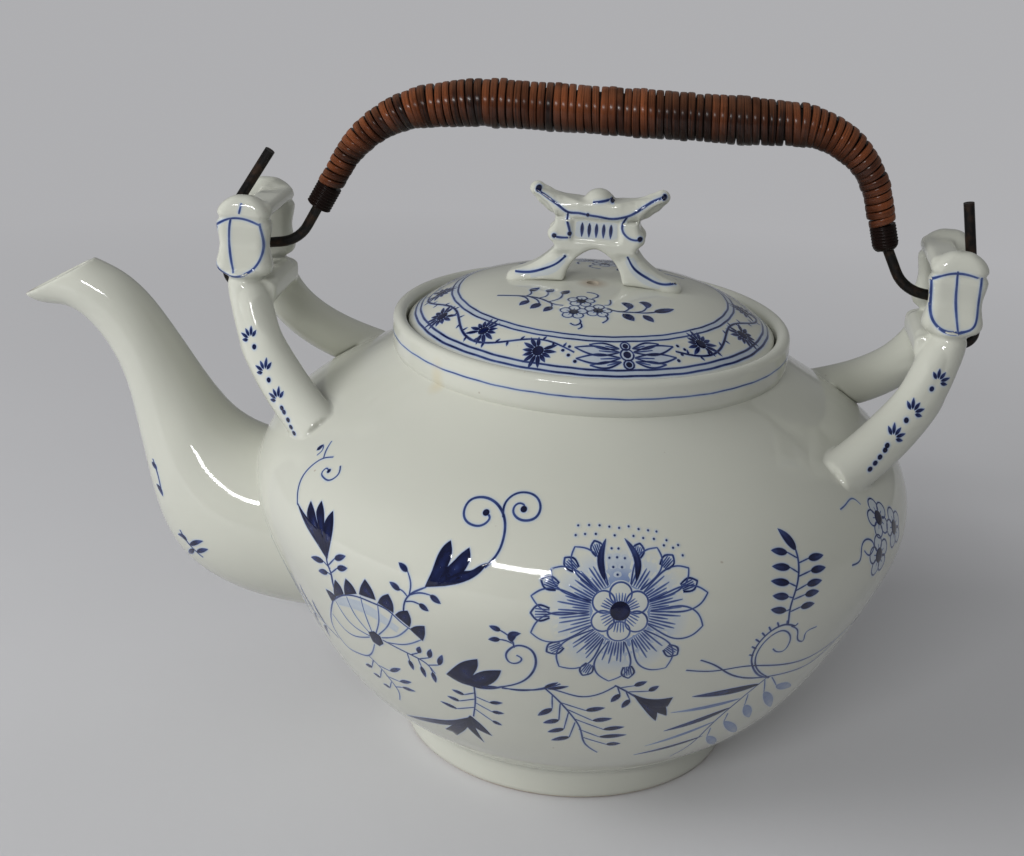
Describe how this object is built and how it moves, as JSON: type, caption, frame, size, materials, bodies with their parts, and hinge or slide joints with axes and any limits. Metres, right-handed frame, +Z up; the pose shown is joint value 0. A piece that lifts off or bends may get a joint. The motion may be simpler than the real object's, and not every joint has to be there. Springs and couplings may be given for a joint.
{
  "type": "teapot",
  "caption": "Porcelain teapot with a curved spout, a lift-out domed lid and a cane-wrapped wire bail that rocks in two lugs.",
  "frame": {"origin": "centre of the foot ring on the surface that the pot stands on", "axes": "+Z up along the pot's axis, -X towards the spout, -Y towards the decorated front"},
  "size_m": [0.2628, 0.18, 0.1842],
  "materials": {
    "porcelain": "glossy white glaze over blue decor",
    "wire": "black iron wire, slightly worn",
    "core": "dark, hidden under the cane",
    "binding": "black thread binding",
    "cane": "brown varnished cane"
  },
  "bodies": {
    "pot": {"pot_shell": "porcelain", "spout": "porcelain", "saddle_left": "porcelain", "saddle_right": "porcelain", "strut_left_front": "porcelain", "strut_left_back": "porcelain", "strut_right_front": "porcelain", "strut_right_back": "porcelain"},
    "lid": {"lid": "porcelain", "lid_finial": "porcelain"},
    "bail": {"bail_wire": "wire", "grip_core": "core", "end_binding_left": "binding", "end_binding_right": "binding", "cane_winding_left": "cane", "cane_winding_middle": "cane", "cane_winding_right": "cane"}
  },
  "joints": [
    {"name": "lid_lift", "type": "slide", "parent": "pot", "child": "lid", "axis": [0, 0, 1], "range_m": [0, 0.012]},
    {"name": "bail_swing", "type": "hinge", "parent": "pot", "child": "bail", "pos_m": [0, 0, 0.133], "axis": [1, 0, 0], "range_deg": [-22, 22]}
  ]
}
